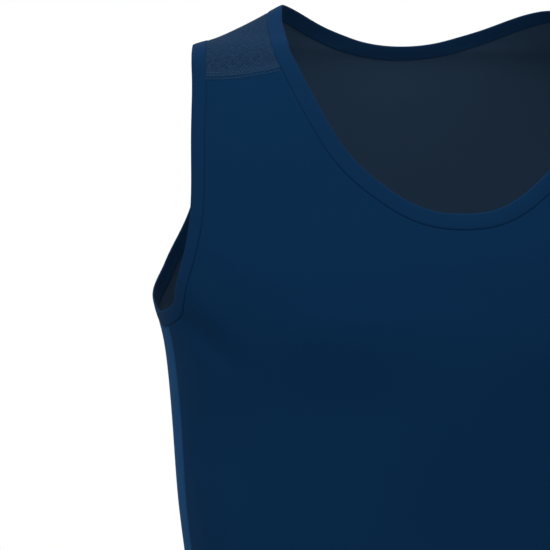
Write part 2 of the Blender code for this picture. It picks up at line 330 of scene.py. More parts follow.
def spline(rows, at):
    """Natural cubic through the rows of a table, read at row numbers that may be fractions."""
    links = 4 * np.eye(len(rows) - 2) + np.eye(len(rows) - 2, k=1) + np.eye(len(rows) - 2, k=-1)
    bend = np.zeros_like(rows)
    bend[1:-1] = np.linalg.solve(links, 6 * np.diff(rows, 2, axis=0))
    row = np.clip(np.floor(at).astype(int), 0, len(rows) - 2)
    late = (at - row)[..., None]
    early = 1 - late
    straight_line = early * rows[row] + late * rows[row + 1]
    return straight_line + ((early**3 - early) * bend[row] + (late**3 - late) * bend[row + 1]) / 6


SECTION_STEPS = np.linspace(0, len(SECTIONS) - 1, LEVEL_STEPS)
SECTION_HEIGHTS = spline(SECTIONS, SECTION_STEPS)[:, 0]


def pairs(first, second):
    """Pairs of numbers, such as places from their arounds and heights."""
    return np.stack(np.broadcast_arrays(first, second), axis=-1)


def on_form(places):
    """Points of the form at places (around, height)."""
    around = np.radians(places[..., 0])
    height = places[..., 1]
    at = np.interp(-height, -SECTION_HEIGHTS, SECTION_STEPS)
    _, half_width, front, side, back, square = np.moveaxis(spline(SECTIONS, at), -1, 0)
    across = (np.sin(around) + square * np.sin(3 * around)) / (1 - square)
    along = (-np.cos(around) + square * np.cos(3 * around)) / (1 - square)
    y = side + (back - front) / 2 * along + ((back + front) / 2 - side) * along**2
    return np.stack([-half_width * across, y, height], axis=-1)


def unit(vectors):
    return vectors / np.linalg.norm(vectors, axis=-1, keepdims=True)


def slopes_at(places):
    """How far a point of the form moves for a nudge around, and for one in height."""
    return [(on_form(places + by) - on_form(places - by)) / 2 for by in NUDGE]


def outward(places):
    """Unit normals of the form, out of the garment."""
    rounded, upward = slopes_at(places)
    return unit(np.cross(upward, rounded))


def folds(places):
    """The lift of the soft folds."""
    lift = np.zeros(places.shape[:-1])
    for _, around, height, run, half_length, half_width, depth in FOLDS:
        turned = (places[..., 0] - around + HALF_TURN) % FULL_TURN - HALF_TURN
        right = turned * METRES_ROUND
        down = height - places[..., 1]
        way = np.radians(run)
        along = down * np.cos(way) + right * np.sin(way)
        across = right * np.cos(way) - down * np.sin(way)
        lift += depth * np.exp(-((along / half_length) ** 2) - (across / half_width) ** 2)
    return lift


def lifted(places, lift):
    """Points at that lift out of the form, folds included."""
    return on_form(places) + outward(places) * (lift + folds(places))[..., None]


# ---- lines of places


def rows_of(table):
    return np.array([row[1:] for row in table])


def stretch(table, start, end, count, before, after):
    """A seam between two of its named rows. before and after are rows that it runs on to."""
    names = [row[0] for row in table]
    first = names.index(start)
    last = names.index(end)
    if last < first:
        last += len(names)
    rows = np.concatenate([before, rows_of(table), after])
    fine = len(before) + np.linspace(first, last, SEAM_STEPS)
    return spaced(spline(rows, fine), count)


def run_of(points):
    """How far along a line of points each of them lies."""
    steps = np.linalg.norm(np.diff(points, axis=0), axis=1)
    return np.concatenate([[0], np.cumsum(steps)])


def places_at(line, run, at):
    """Places of a line at distances along it, run being those of its own places."""
    return np.stack([np.interp(at, run, line[:, k]) for k in (0, 1)], axis=1)


def spaced(line, count):
    """The same line in count even steps."""
    run = run_of(on_form(line))
    return places_at(line, run, np.linspace(0, run[-1], count + 1))


def in_steps(line, step):
    """The same line in even steps of about that length."""
    return spaced(line, round(length_of(line) / step))


def trimmed(line, start, end):
    """The line without that length of its start and of its end."""
    run = run_of(on_form(line))
    return places_at(line, run, np.linspace(start, run[-1] - end, len(line)))


def at_lengths(line, shares):
    """Places at shares of a line's length, from 0 to 1."""
    run = run_of(on_form(line))
    return places_at(line, run, shares * run[-1])


def at_shares(line, shares):
    """Places at shares of the number of a line's steps, from 0 to 1."""
    return places_at(line, np.linspace(0, 1, len(line)), shares)


def length_of(line):
    return np.linalg.norm(np.diff(on_form(line), axis=0), axis=1).sum()


def armhole(start, end, count=SEAM_STEPS):
    """A stretch of the armhole seam, which closes on itself."""
    rows = rows_of(ARMHOLE_SEAM)
    return stretch(ARMHOLE_SEAM, start, end, count, rows[-RUN_ON:], rows[:RUN_ON + 1])


def neck(start, end, count=SEAM_STEPS):
    """A stretch of the neck seam, which runs on as its mirror image at both ends."""
    rows = rows_of(NECK_SEAM)
    before = mirrored(rows[RUN_ON:0:-1], CENTRE_FRONT)
    after = mirrored(rows[-2:-2 - RUN_ON:-1], CENTRE_BACK)
    return stretch(NECK_SEAM, start, end, count, before, after)


def mirrored(line, middle=CENTRE_FRONT):
    """The line on the other half of the garment, about the centre front or back."""
    return line * (-1, 1) + (2 * middle, 0)


def straight(start, end, count=SEAM_STEPS, bow=0.0):
    """Places in even steps from one place to another, the middle lowered by bow."""
    share = np.linspace(0, 1, count + 1)[:, None]
    return start + (end - start) * share - 4 * share * (1 - share) * (0, bow)


def moved(line, distance, closed=False):
    """A line moved sideways over the form, to the right of its run as seen from outside."""
    for _ in range(MOVE_STEPS):
        points = on_form(line)
        if closed:
            along = np.roll(points, -1, axis=0) - np.roll(points, 1, axis=0)
        else:
            along = np.gradient(points, axis=0)
        slopes = slopes_at(line)
        sideways = unit(np.cross(along, np.cross(slopes[1], slopes[0]))) * distance / MOVE_STEPS
        shares = (np.linalg.pinv(np.stack(slopes, axis=-1)) @ sideways[..., None])[..., 0]
        line = line + shares @ NUDGE
    return line


def yoke_seams():
    """The front and the back seam of the wearer's right yoke, from the neck to the armhole."""
    neck_front, neck_back = neck("front yoke", "back yoke", 1)
    arm_back, arm_front = armhole("back yoke", "front yoke", 1)
    return straight(neck_front, arm_front, bow=YOKE_BOW), straight(neck_back, arm_back)


def side_seam(around, top):
    return straight(top, np.array([around, HEM_HEIGHT]))


# ---- metres on the cloth

TABLE_AROUND = np.linspace(-HALF_TURN, FULL_TURN + HALF_TURN, TABLE_COLUMNS)
TABLE_HEIGHT = np.linspace(SECTIONS[0][0], HEM_HEIGHT - TABLE_SPARE, TABLE_ROWS)


def cloth_tables():
    """Metres round the form from the centre front, and down it, for a grid of places."""
    points = on_form(pairs(TABLE_AROUND, TABLE_HEIGHT[:, None]))
    round_steps = np.linalg.norm(np.diff(points, axis=1), axis=-1)
    down_steps = np.linalg.norm(np.diff(points, axis=0), axis=-1)
    rounded = np.pad(np.cumsum(round_steps, axis=1), ((0, 0), (1, 0)))
    front = np.searchsorted(TABLE_AROUND, CENTRE_FRONT)
    down = np.pad(np.cumsum(down_steps, axis=0), ((1, 0), (0, 0)))
    return rounded - rounded[:, front:front + 1], down - down[-1:]


METRES_AROUND, METRES_DOWN = cloth_tables()


def read(table, places):
    """A value of a table over places, taken between its rows and columns."""
    column = (places[..., 0] - TABLE_AROUND[0]) / (TABLE_AROUND[1] - TABLE_AROUND[0])
    row = (places[..., 1] - TABLE_HEIGHT[0]) / (TABLE_HEIGHT[1] - TABLE_HEIGHT[0])
    column = np.clip(column, 0, table.shape[1] - LAST_CELL)
    row = np.clip(row, 0, table.shape[0] - LAST_CELL)
    c, r = column.astype(int), row.astype(int)
    right, low = column - c, row - r
    top = table[r, c] * (1 - right) + table[r, c + 1] * right
    bottom = table[r + 1, c] * (1 - right) + table[r + 1, c + 1] * right
    return top * (1 - low) + bottom * low


def on_cloth(places):
    """Where places lie on the flat cloth: metres to the right as seen from outside, and up."""
    return pairs(-read(METRES_AROUND, places), -read(METRES_DOWN, places))


# ---- meshes


def facing_out(points, faces):
    """The faces of a closed solid, turned over if they face into it."""
    corners = points[np.array([face[:3] for face in faces])]
    middle = points.mean(axis=0)
    first, second, third = np.moveaxis(corners - middle, 1, 0)
    volume = np.einsum("ij,ij->i", first, np.cross(second, third)).sum()
    return faces if volume > 0 else [face[::-1] for face in faces]


def solid(points, faces, cloth, finishes=(0,)):
    """A closed solid for make_piece, its faces taking those finishes in turn."""
    faces = facing_out(points, [list(map(int, face)) for face in faces])
    return points, faces, cloth, (list(finishes) * len(faces))[:len(faces)]


def add_object(name, data):
    made = bpy.data.objects.new(name, data)
    bpy.context.scene.collection.objects.link(made)
    return made


def make_piece(name, solids, finishes, node=None, once_round=None):
    """A piece made of closed solids, which carries each point's place on the cloth, in metres.

    once_round is the length of a strip that closes on itself.
    """
    points = np.concatenate([made[0] for made in solids])
    cloth = np.concatenate([made[2] for made in solids])
    faces, face_finish, first = [], [], 0
    for made in solids:
        faces += [[first + corner for corner in face] for face in made[1]]
        face_finish += made[3]
        first += len(made[0])
    mesh = bpy.data.meshes.new(name)
    mesh.from_pydata(points.tolist(), [], faces)
    corners = cloth[np.concatenate(faces)]
    if once_round:
        strip = corners.reshape(len(faces), -1, 2)
        closes = strip[..., 0].max(axis=1, keepdims=True) > strip[..., 0] + once_round / 2
        strip[..., 0] += closes * once_round
    flat = np.zeros((len(corners), 3), np.float32)
    flat[:, :2] = corners
    mesh.attributes.new("cloth", "FLOAT_VECTOR", "CORNER").data.foreach_set("vector", flat.ravel())
    for finish in finishes:
        mesh.materials.append(finish)
    mesh.polygons.foreach_set("material_index", np.array(face_finish, np.int32))
    mesh.shade_smooth()
    mesh.update()
    piece = add_object(name, mesh)
    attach(piece, "root")
    if node:
        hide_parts(node)
    return piece


def distances(points, line):
    """How far each point is from a line of places."""
    dense = on_form(spaced(line, int(length_of(line) / DENSE_STEP)))
    tree = KDTree(len(dense))
    for number, point in enumerate(dense):
        tree.insert(point, number)
    tree.balance()
    return np.array([tree.find(point)[2] for point in points])


def nearest(points, lines):
    """How far each point is from the nearest of some lines."""
    return np.min([distances(points, line) for line in lines], axis=0)


def bell(distance, width):
    return np.exp(-((distance / width) ** 2))


def pressed(distance, width):
    """The ridge over a pressed allowance: level over it, then a small step down at its edge."""
    return (1 - np.tanh((distance - width) / (width * RIDGE_STEP))) / 2


def cloth_lifts(places, kinds, lines):
    """The lift of the outer and of the inner face of a piece with those kinds of seam on its lines.

    Cloth dips into a seam and rolls round its turned hem.
    """
    points = on_form(places)
    outer = np.full(len(places), FACE_LIFT)
    inner = np.full(len(places), BACK_LIFT)
    for kind in dict.fromkeys(kinds):
        away = nearest(points, [line for its, line in zip(kinds, lines) if its == kind])
        if kind == "hem":
            inner -= HEM_LAYER * (1 - np.tanh((away - HEM_TURN) / HEM_STEP)) / 2
            turn = np.clip(1 - away / HEM_ROUND, 0, 1)
            drop = 1 - np.sqrt(1 - turn**2)
            outer -= drop * HEM_ROUND
            inner += drop * (HEM_ROUND / 2)
            continue
        outer_dip, inner_dip, width = DIPS[kind]
        if kind == "band":
            outer_dip = outer_dip * np.interp(places[:, 1], PULL_HEIGHTS, PULL_SHARES)
        outer -= outer_dip * bell(away, width)
        inner -= inner_dip * bell(away, width)
        if kind == "pressed":
            outer += PRESSED_RIDGE * pressed(away, YOKE_ALLOWANCE)
    return outer, inner


def shell(places, faces, rim, kinds, lines):
    """A closed piece of cloth: its outer face, its inner face and the rim that joins them.

    faces run anticlockwise as seen from outside, and rim is the order of the points round the edge.
    """
    outer, inner = cloth_lifts(places, kinds, lines)
    points = np.concatenate([lifted(places, outer), lifted(places, inner)])
    count = len(places)
    inside = [tuple(corner + count for corner in face[::-1]) for face in faces]
    following = np.roll(rim, -1)
    edge = [(b, a, a + count, b + count) for a, b in zip(rim, following)]
    every = list(map(tuple, faces)) + inside + edge
    finish = [0] * len(faces) + [1] * len(inside) + [0] * len(edge)
    flat = on_cloth(places)
    return points, every, np.concatenate([flat, flat]), finish


def graded(count):
    """Shares from 0 to 1 that lie closer together at both ends."""
    even = np.linspace(0, 1, count + 1)
    return even - GRADING * np.sin(2 * np.pi * even) / (2 * np.pi)


def patch(left, right, bottom, top, rows, columns):
    """A grid of places inside four lines: left and right run up, the others from left to right."""
    up_shares, over_shares = graded(rows), graded(columns)
    left, right = at_shares(left, up_shares), at_shares(right, up_shares)
    bottom, top = at_shares(bottom, over_shares), at_shares(top, over_shares)
    up, over = up_shares[:, None, None], over_shares[None, :, None]
    sides = (1 - over) * left[:, None] + over * right[:, None]
    ends = (1 - up) * bottom[None] + up * top[None]
    corners = (1 - up) * ((1 - over) * left[0] + over * right[0])
    corners = corners + up * ((1 - over) * left[-1] + over * right[-1])
    return sides + ends - corners


def grid_faces(rows, columns):
    """The faces of a grid of points, row by row, and its rim, anticlockwise from outside."""
    number = np.arange(rows * columns).reshape(rows, columns)
    faces = np.stack([number[:-1, :-1], number[:-1, 1:], number[1:, 1:], number[1:, :-1]], axis=-1)
    rim = np.concatenate([
        number[0, :-1], number[:-1, -1], number[-1, :0:-1], number[:0:-1, 0],
    ])
    return faces.reshape(-1, 4).tolist(), rim


def patch_shell(lines, mesh, kinds):
    """A four-sided piece of cloth, with its left, right, bottom and top and their kinds of seam."""
    places = patch(*lines, *mesh)
    faces, rim = grid_faces(*places.shape[:2])
    return shell(places.reshape(-1, 2), faces, rim, kinds, lines)


# ---- the panels


def unrolled(places, strap):
    """A panel laid out flat enough to mesh: metres round it, and metres up it at its strap."""
    up = -read(METRES_DOWN, pairs(strap, places[:, 1]))
    return pairs(-read(METRES_AROUND, places), up)


def inner_rows(outline, middle, strap):
    """Places spread evenly inside a panel, in rows that follow its height."""
    heights = np.linspace(outline[:, 1].max(), HEM_HEIGHT, LEVEL_STEPS)
    up = unrolled(pairs(middle, heights), strap)[:, 1]
    run = up[0] - up
    rows = np.interp(np.arange(0, run[-1], INNER_STEP * np.sqrt(3) / 2), run, heights)
    reach = np.abs(outline[:, 0] - middle).max()
    arounds = np.linspace(middle - reach, middle + reach, AROUND_STEPS)
    found = []
    for number, height in enumerate(rows):
        metres = read(METRES_AROUND, pairs(arounds, height))
        at = np.arange(metres[0] + INNER_STEP / 2 * (number % 2), metres[-1], INNER_STEP)
        found.append(pairs(np.interp(at, metres, arounds), height))
    return np.concatenate(found)


def inside(places, outline):
    """Whether each place lies inside a closed outline of places."""
    x, y = places.T
    found = np.zeros(len(places), bool)
    for (x0, y0), (x1, y1) in zip(outline, np.roll(outline, -1, axis=0)):
        if y0 != y1:
            crosses = (y0 > y) != (y1 > y)
            found ^= crosses & (x < (x1 - x0) * (y - y0) / (y1 - y0) + x0)
    return found


def kept_clear(places, edge, seams, clear):
    """Those places inside a panel's edge that are farther than that from every seam."""
    places = places[inside(places, edge)]
    return places[nearest(on_form(places), seams) > clear]


def panel_places(seams, middle, strap):
    """The places of a panel's mesh, and how many of them, the first ones, run round its edge."""
    outline = [in_steps(line, EDGE_STEP) for line in seams]
    edge = np.concatenate([line[:-1] for line in outline])
    found = [edge]
    for away in LADDER:
        rungs = np.concatenate([moved(line, -away) for line in outline])
        found.append(kept_clear(rungs, edge, seams, away * RUNG_CLEAR))
    spread = inner_rows(edge, middle, strap)
    found.append(kept_clear(spread, edge, seams, LADDER[-1] + INNER_STEP * INNER_CLEAR))
    return np.concatenate(found), len(edge)


def triangles(places, edge_count, strap):
    """Triangles over the places of a panel, anticlockwise as seen from outside."""
    flat = unrolled(places, strap)
    ring = list(range(edge_count))
    made = delaunay_2d_cdt([Vector(p) for p in flat], [], [ring], 0, JOIN_NEAR, True)
    source = np.array([ids[0] for ids in made[3]])
    corners = source[np.array(made[2])]
    middles = flat[corners].mean(axis=1)
    return corners[inside(middles, flat[:edge_count])].tolist()


def panel(part, half, middle, strap, finishes):
    """The front or back panel, from the stretches of one half of its outline.

    half runs anticlockwise as seen from outside. strap is where a strap lies around.
    """
    other = [mirrored(line, middle)[::-1] for line in half[::-1]]
    outline = half + [straight(half[-1][-1], other[0][0])] + other
    kinds = (*PANEL_SEAMS, "hem", *PANEL_SEAMS[::-1])
    places, edge_count = panel_places(outline, middle, strap)
    faces = triangles(places, edge_count, strap)
    cloth = shell(places, faces, np.arange(edge_count), kinds, outline)
    return make_piece(part + "_cloth", [cloth], finishes, part + "_panel")


def front_panel(finishes):
    yoke_front, _ = yoke_seams()
    arm = armhole("front yoke", "front side")
    half = [neck("centre front", "front yoke"), yoke_front, arm, side_seam(SIDE_FRONT, arm[-1])]
    return panel("front", half, CENTRE_FRONT, FRONT_STRAP, finishes)


def back_panel(finishes):
    _, yoke_back = yoke_seams()
    arm = armhole("back side", "back yoke")[::-1]
    nape = neck("back yoke", "centre back")[::-1]
    right_half = [nape, yoke_back, arm, side_seam(SIDE_BACK, arm[-1])]
    half = [mirrored(line, CENTRE_BACK) for line in right_half]
    return panel("back", half, CENTRE_BACK, BACK_STRAP, finishes)


def on_side(side, left, right, bottom, top):
    """The lines round a piece on the wearer's right, or those of its mirror image."""
    if side == "right":
        return left, right, bottom, top
    return mirrored(right), mirrored(left), mirrored(bottom[::-1]), mirrored(top[::-1])


def side_panel(side, finishes):
    """The wearer's right side panel, or its mirror image, with the allowances of its seams."""
    top = armhole("front side", "back side")
    front, back = side_seam(SIDE_FRONT, top[0]), side_seam(SIDE_BACK, top[-1])
    hem = straight(front[-1], back[-1])
    lines = on_side(side, back[::-1], front[::-1], hem[::-1], top[::-1])
    clear = (SIDE_CLEAR, HEM_TURN + 2 * HEM_STEP)
    solids = [patch_shell(lines, SIDE_MESH, SIDE_SEAMS)]
    solids += allowances(side, front, back, clear, SIDE_ALLOWANCE, -1)
    return make_piece("side_cloth_" + side, solids, finishes, "side_panel_" + side)


def backed(cloth, lines):
    """The same cloth, its face in a finish of its own where an allowance lies behind it, with
    lighter painted shade in its holes.
    """
    points, faces, flat, finish = cloth
    middles = points[np.array(faces)].mean(axis=1)
    over = (np.array(finish) == 0) & (nearest(middles, lines) < YOKE_ALLOWANCE)
    return points, faces, flat, np.where(over, BACKED_FINISH, finish).tolist()


def shoulder_yoke(side, finishes):
    """The wearer's right yoke, or its mirror image, with the allowances of its seams."""
    front, back = yoke_seams()
    neck_edge = neck("front yoke", "back yoke")
    arm_edge = armhole("back yoke", "front yoke")[::-1]
    lines = on_side(side, arm_edge, neck_edge, front[::-1], back[::-1])
    solids = [backed(patch_shell(lines, YOKE_MESH, YOKE_SEAMS), lines[2:])]
    solids += allowances(side, front, back, (NECK_CLEAR, ARM_CLEAR), YOKE_ALLOWANCE, 1)
    return make_piece("yoke_cloth_" + side, solids, finishes, "shoulder_yoke_" + side)


# ---- bindings


def swept(rings, lifts):
    """Points of a tube, a row for each station, from the lines that run along it."""
    return np.stack([lifted(ring, lift) for ring, lift in zip(rings, lifts)], axis=1)


def tube_faces(stations, around, closed):
    """The faces of a tube of points, station by station, which may close on itself."""
    number = np.arange(stations * around).reshape(stations, around)
    if closed:
        number = np.concatenate([number, number[:1]])
    beyond = np.roll(number, -1, axis=1)
    wall = np.stack([number[:-1], beyond[:-1], beyond[1:], number[1:]], axis=-1)
    ends = [] if closed else [number[0, ::-1].tolist(), number[-1].tolist()]
    return wall.reshape(-1, 4).tolist() + ends


def along_and_across(points, across):
    """The cloth's places on a strip: metres along it, and across it."""
    run = run_of(points[:, 0])
    return pairs(run[:, None], across).reshape(-1, 2)


def binding(name, node, seam, into_opening, finishes):
    """A folded strip round an opening. into_opening is 1 if the opening is right of the seam's run.

    Its finishes are those of the outside and of the inside; the inside's is the same binding
    painted lighter, as painted light on its shaded inner face.
    """
    across = [row[0] for row in BINDING]
    rings = [moved(seam, into_opening * far, closed=True) for far in across]
    points = swept(rings, [row[1] for row in BINDING])
    faces = tube_faces(*points.shape[:2], closed=True)
    places = along_and_across(points, across)
    strip = solid(points.reshape(-1, 3), faces, places, [row[2] for row in BINDING])
    whole = places[-1, 0] + np.linalg.norm(points[0, 0] - points[-1, 0])
    return make_piece(name, [strip], finishes, node, whole)


def overlocked(line, width, towards, side):
    """A seam's allowances, overlocked together, on the wearer's right or mirrored.

    towards is 1 if they lie right of the line's run, and -1 if left.
    """
    line = in_steps(line, ALLOWANCE_STEP)
    across = [share * (width + ALLOWANCE_UNDER) - ALLOWANCE_UNDER for share, _ in OVERLOCK]
    steps = np.linspace(0, length_of(line), len(line))
    trim = np.clip(np.minimum(steps, steps[-1] - steps) / ALLOWANCE_TRIM, 0, 1)
    narrow = TRIM_NARROW + (1 - TRIM_NARROW) * np.sin(trim * np.pi / 2)[:, None]
    rings = [line + (moved(line, towards * far) - line) * narrow for far in across]
    if side == "left":
        rings = [mirrored(ring) for ring in rings]
    thick = TRIM_THIN + (1 - TRIM_THIN) * np.sqrt(trim)
    lifts = [FLAT_LIFT + (lift - FLAT_LIFT) * thick for _, lift in OVERLOCK]
    points = swept(rings, lifts)
    faces = tube_faces(*points.shape[:2], closed=False)
    places = along_and_across(points, across)
    return solid(points.reshape(-1, 3), faces, places, [OVERLOCK_FINISH])


def allowances(side, front, back, clear, width, towards):
    """The allowances of a piece's two seams. towards is the front's, and the back's is opposite."""
    seams = ((front, towards), (back, -towards))
    return [overlocked(trimmed(line, *clear), width, way, side) for line, way in seams]


def neck_binding(finishes):
    """The neck band, once round from its join at the centre back, by the wearer's left."""
    half = neck("centre front", "centre back")
    whole = np.concatenate([mirrored(half)[::-1], half[1:]])
    return binding("neck_binding", "neck_band", spaced(whole, NECK_STATIONS)[:-1], 1, finishes)


def armhole_binding(side, finishes):
    """The wearer's right armhole band, or its mirror image, once round from under the arm."""
    up = armhole("back side", "front yoke")
    down = armhole("front yoke", "back side")
    seam = spaced(np.concatenate([up, down[1:]]), ARM_STATIONS)[:-1]
    seam, into_opening = (seam, 1) if side == "right" else (mirrored(seam), -1)
    return binding("armhole_binding_" + side, "armhole_band_" + side, seam, into_opening, finishes)


# ---- stitches


def threads(line, count, on_yoke, radius=THREAD):
    """Short threads end to end along a line, each rising from the cloth and going back in."""
    around = np.linspace(0, 2 * np.pi, THREAD_SIDES, endpoint=False)
    share = np.linspace(0, 1, THREAD_RINGS)
    thick = np.sin(np.pi * (THREAD_BLUNT + (1 - 2 * THREAD_BLUNT) * share)) ** THREAD_TAPER
    rise = np.sin(np.pi * share)
    ends = np.linspace(0, 1, count + 1)
    spare = STITCH_SPARE / 2 / count
    at = ends[:-1, None] + spare + share * (1 / count - 2 * spare)
    places = at_lengths(line, at.ravel()).reshape(count, THREAD_RINGS, 2)
    normal = outward(places)
    ridge, sunk = (PRESSED_RIDGE, YOKE_SUNK) if on_yoke else (0, 0)
    lift = FACE_LIFT + ridge + radius * (rise * THREAD_RISE - THREAD_SUNK - sunk)
    middle = lifted(places, lift)
    along = unit(np.gradient(middle, axis=1))
    beside = unit(np.cross(along, normal))
    over = np.cross(beside, along)
    circle = (beside[:, :, None] * np.cos(around)[:, None] +
              over[:, :, None] * np.sin(around)[:, None])
    ring = middle[:, :, None] + circle * (radius * thick)[None, :, None, None]
    faces = tube_faces(THREAD_RINGS, THREAD_SIDES, closed=False)
    cloth = np.repeat(on_cloth(places), THREAD_SIDES, axis=1)
    return [solid(points.reshape(-1, 3), faces, flat) for points, flat in zip(ring, cloth)]


def zigzag(first, second):
    """A line that goes to and fro between two rows, a stitch at a time."""
    count = 2 * round(length_of(first) / LOOPER_STITCH / 2)
    ends = np.stack([spaced(first, count), spaced(second, count)])
    turns = np.arange(count + 1)
    return ends[turns % 2, turns]


def row_of_threads(row, pitch, on_yoke):
    return threads(row, round(length_of(row) / pitch), on_yoke)


def yoke_stitches(side, finish):
    """Three rows over each of a yoke's seams, with looper threads that cross between them."""
    solids = []
    for seam, into_yoke in zip(yoke_seams(), (1, -1)):
        rows = [moved(seam, into_yoke * far) for far in YOKE_ROWS_AT]
        if side == "left":
            rows = [mirrored(row) for row in rows]
        for row in rows:
            solids += row_of_threads(row, YOKE_STITCH, True)
        for pair in zip(rows, rows[1:]):
            looper = zigzag(*pair)
            solids += threads(looper, len(looper) - 1, True, LOOPER_THREAD)
    return make_piece("yoke_stitches_" + side, solids, [finish])


def hem_stitches(part, finish):
    """Two rows along a stretch of the hem."""
    start, end = HEM_STRETCHES[part]
    low = straight(np.array([start, HEM_HEIGHT]), np.array([end, HEM_HEIGHT]))
    solids = []
    for up in HEM_ROWS_AT:
        solids += row_of_threads(low + (0, up), HEM_STITCH, False)
    return make_piece("hem_stitches_" + part, solids, [finish])


# ---- materials

# Knits, in metres: wale is the pitch of the columns of loops, and course that of the rows
#              wale, course
JERSEY_PITCH = (0.0009, 0.0007)
BINDING_PITCH = (0.0008, 0.0006)
REVERSE_PITCH = (0.0009, 0.00055)
REVERSE_BOW = 0.00018
LOOP_SLANT = 0.55  # how far a loop's legs slant, as a share of its course
OVERLOCK_PITCH = 0.0018
OVERLOCK_SLANT = 0.35

# Shares of a height or a tone
COLUMN_AND_LOOP = (0.65, 0.35)
KNIT_YARN_CLOUD = (0.5, 0.3, 0.2)
ARC_YARN_CLOUD = (0.35, 0.45, 0.2)
LOOP_AND_PLY = (0.6, 0.4)
YARN_RISE = 0.25
YARN_ROUGHNESS = 0.12

# Micro-mesh
MESH_PITCH = (0.0031, 0.0034)  # of its holes, across and up
MESH_SWAY = 0.0016
HOLE_EDGE = (0.15, 0.75)  # where it starts and ends, from 0 between holes to 1 in their middle

# How uneven cloth and yarn are, in metres
#    size, detail
NOISES = {
    "cloud": (0.045, 2.0),
    "yarn": (0.0011, 1.0),
    "reverse cloud": (0.05, 2.0),
    "reverse yarn": (0.0012, 2.0),
    "sway across": (0.0026, 1.0),
    "sway up": (0.0031, 1.0),
    "speckle": (0.0025, 2.0),
    "ply": (0.0006, 1.0),
    "overlock ply": (0.0007, 1.0),
}

# Painted shade in the micro-mesh's holes: the garment's shaded inside seen through them, lighter
# where an allowance lies behind them
MESH_HOLE_SHADE = (0.0088, 0.0265, 0.0610)
BACKED_HOLE_SHADE = (0.0112, 0.0322, 0.0735)
KNIT_SHEEN = (0.55, 0.72, 1.0)
SOFT_SHEEN = (0.70, 0.80, 1.0)
MESH_SHEEN = (0.70, 0.82, 1.0)
THREAD_SHEEN = (0.80, 0.88, 1.0)
SHEEN_ROUGHNESS = 0.45

# For the knits and threads, the tone that contrast works on follows the bump, so it also paints
# shade in their hollows.
# Contrast is how far the tone darkens and lightens the colour, and depth is the bump's in metres.
#    colour, contrast, depth, roughness, specular, sheen, sheen_tint
SURFACES = {
    "navy jersey": ((0.0030, 0.0268, 0.0790), 0.10, 0.00010, 0.80, 0.025, 0.015, KNIT_SHEEN),
    "blue jersey": ((0.0085, 0.0610, 0.1640), 0.10, 0.00010, 0.80, 0.025, 0.015, KNIT_SHEEN),
    "jersey reverse": ((0.0330, 0.0700, 0.1280), 0.16, 0.00006, 0.90, 0.050, 0.030, SOFT_SHEEN),
    "navy micro-mesh": ((0.0118, 0.0335, 0.0755), 0.56, 0.00016, 0.90, 0.020, 0.000, MESH_SHEEN),
    "backed micro-mesh": ((0.0122, 0.0350, 0.0790), 0.22, 0.00016, 0.90, 0.020, 0.000, MESH_SHEEN),
    "navy binding": ((0.0034, 0.0272, 0.0800), 0.08, 0.00009, 0.80, 0.025, 0.020, KNIT_SHEEN),
    # The binding's inside is the navy binding again, painted lighter as painted light on its shaded
    # inner face
    "binding inside, painted lighter": ((0.0077, 0.0365, 0.0980), 0.08, 0.00009, 0.80, 0.025, 0.020, KNIT_SHEEN),
    "blue thread": ((0.0240, 0.0740, 0.1560), 0.18, 0.00005, 0.60, 0.050, 0.030, THREAD_SHEEN),
    "overlocked edge": ((0.0200, 0.0430, 0.0790), 0.24, 0.00016, 0.80, 0.080, 0.050, SOFT_SHEEN),
}


def join(tree, node, inputs):
    """Set a node's inputs, by name or number, and link those whose value is a socket."""
    for name, value in dict(inputs).items():
        if isinstance(value, bpy.types.NodeSocket):
            tree.links.new(value, node.inputs[name])
        else:
            node.inputs[name].default_value = value


def add_node(tree, kind, inputs=(), **settings):
    node = tree.nodes.new(kind)
    for name, value in settings.items():
        setattr(node, name, value)
    join(tree, node, inputs)
    return node


class Cloth:
    """The nodes of the material of that name in SURFACES.

    place, across and up are the place on the flat cloth, in metres.
    """

    def __init__(self, name):
        self.material = bpy.data.materials.new(name)
        self.material.use_nodes = True
        self.tree = self.material.node_tree
        self.colour, self.contrast, self.depth, self.roughness, *self.gloss = SURFACES[name]
        self.place = self.node("ShaderNodeAttribute", attribute_name="cloth").outputs["Vector"]
        self.across, self.up, _ = self.node("ShaderNodeSeparateXYZ", {0: self.place}).outputs

    def node(self, kind, inputs=(), **settings):
        return add_node(self.tree, kind, inputs, **settings)

    def math(self, operation, *values):
        return self.node("ShaderNodeMath", enumerate(values), operation=operation).outputs[0]

    def blend(self, values, shares):
        """The sum of the values, each times its share."""
        total = 0.0
        for value, share in zip(values, shares):
            total = self.math("MULTIPLY_ADD", value, share, total)
        return total

    def wave(self, metres, pitch):
        """From 0 in the middle of each pitch to 1 at its edges."""
        share = self.math("FRACT", self.math("DIVIDE", metres, pitch))
        return self.math("ABSOLUTE", self.math("MULTIPLY_ADD", share, 2.0, -1.0))

    def noise(self, name):
        size, detail = NOISES[name]
        inputs = {"Vector": self.place, "Scale": 1 / size, "Detail": detail}
        return self.node("ShaderNodeTexNoise", inputs).outputs["Fac"]

    def mix(self, first, second, factor):
        """From the first colour to the second as factor goes from 0 to 1."""
        inputs = {"Factor": factor, "A": first, "B": second}
        return self.node("ShaderNodeMix", inputs, data_type="RGBA").outputs["Result"]

    def shade(self, colour, factor):
        """The colour made darker and lighter by the contrast as factor goes from 0 to 1."""
        dark = (*[c * (1 - self.contrast) for c in colour], 1)
        light = (*[c * (1 + self.contrast) for c in colour], 1)
        return self.mix(dark, light, factor)

    def finish(self, colour, height, roughness=None):
        """The material, its roughness that of SURFACES if none is given."""
        specular, sheen, sheen_tint = self.gloss
        bump = self.node("ShaderNodeBump", {"Distance": self.depth, "Height": height})
        join(self.tree, self.tree.nodes["Principled BSDF"], {
            "Base Color": colour,
            "Normal": bump.outputs[0],
            "Roughness": roughness or self.roughness,
            "Specular IOR Level": specular,
            "Sheen Weight": sheen,
            "Sheen Roughness": SHEEN_ROUGHNESS,
            "Sheen Tint": (*sheen_tint, 1),
        })
        return self.material


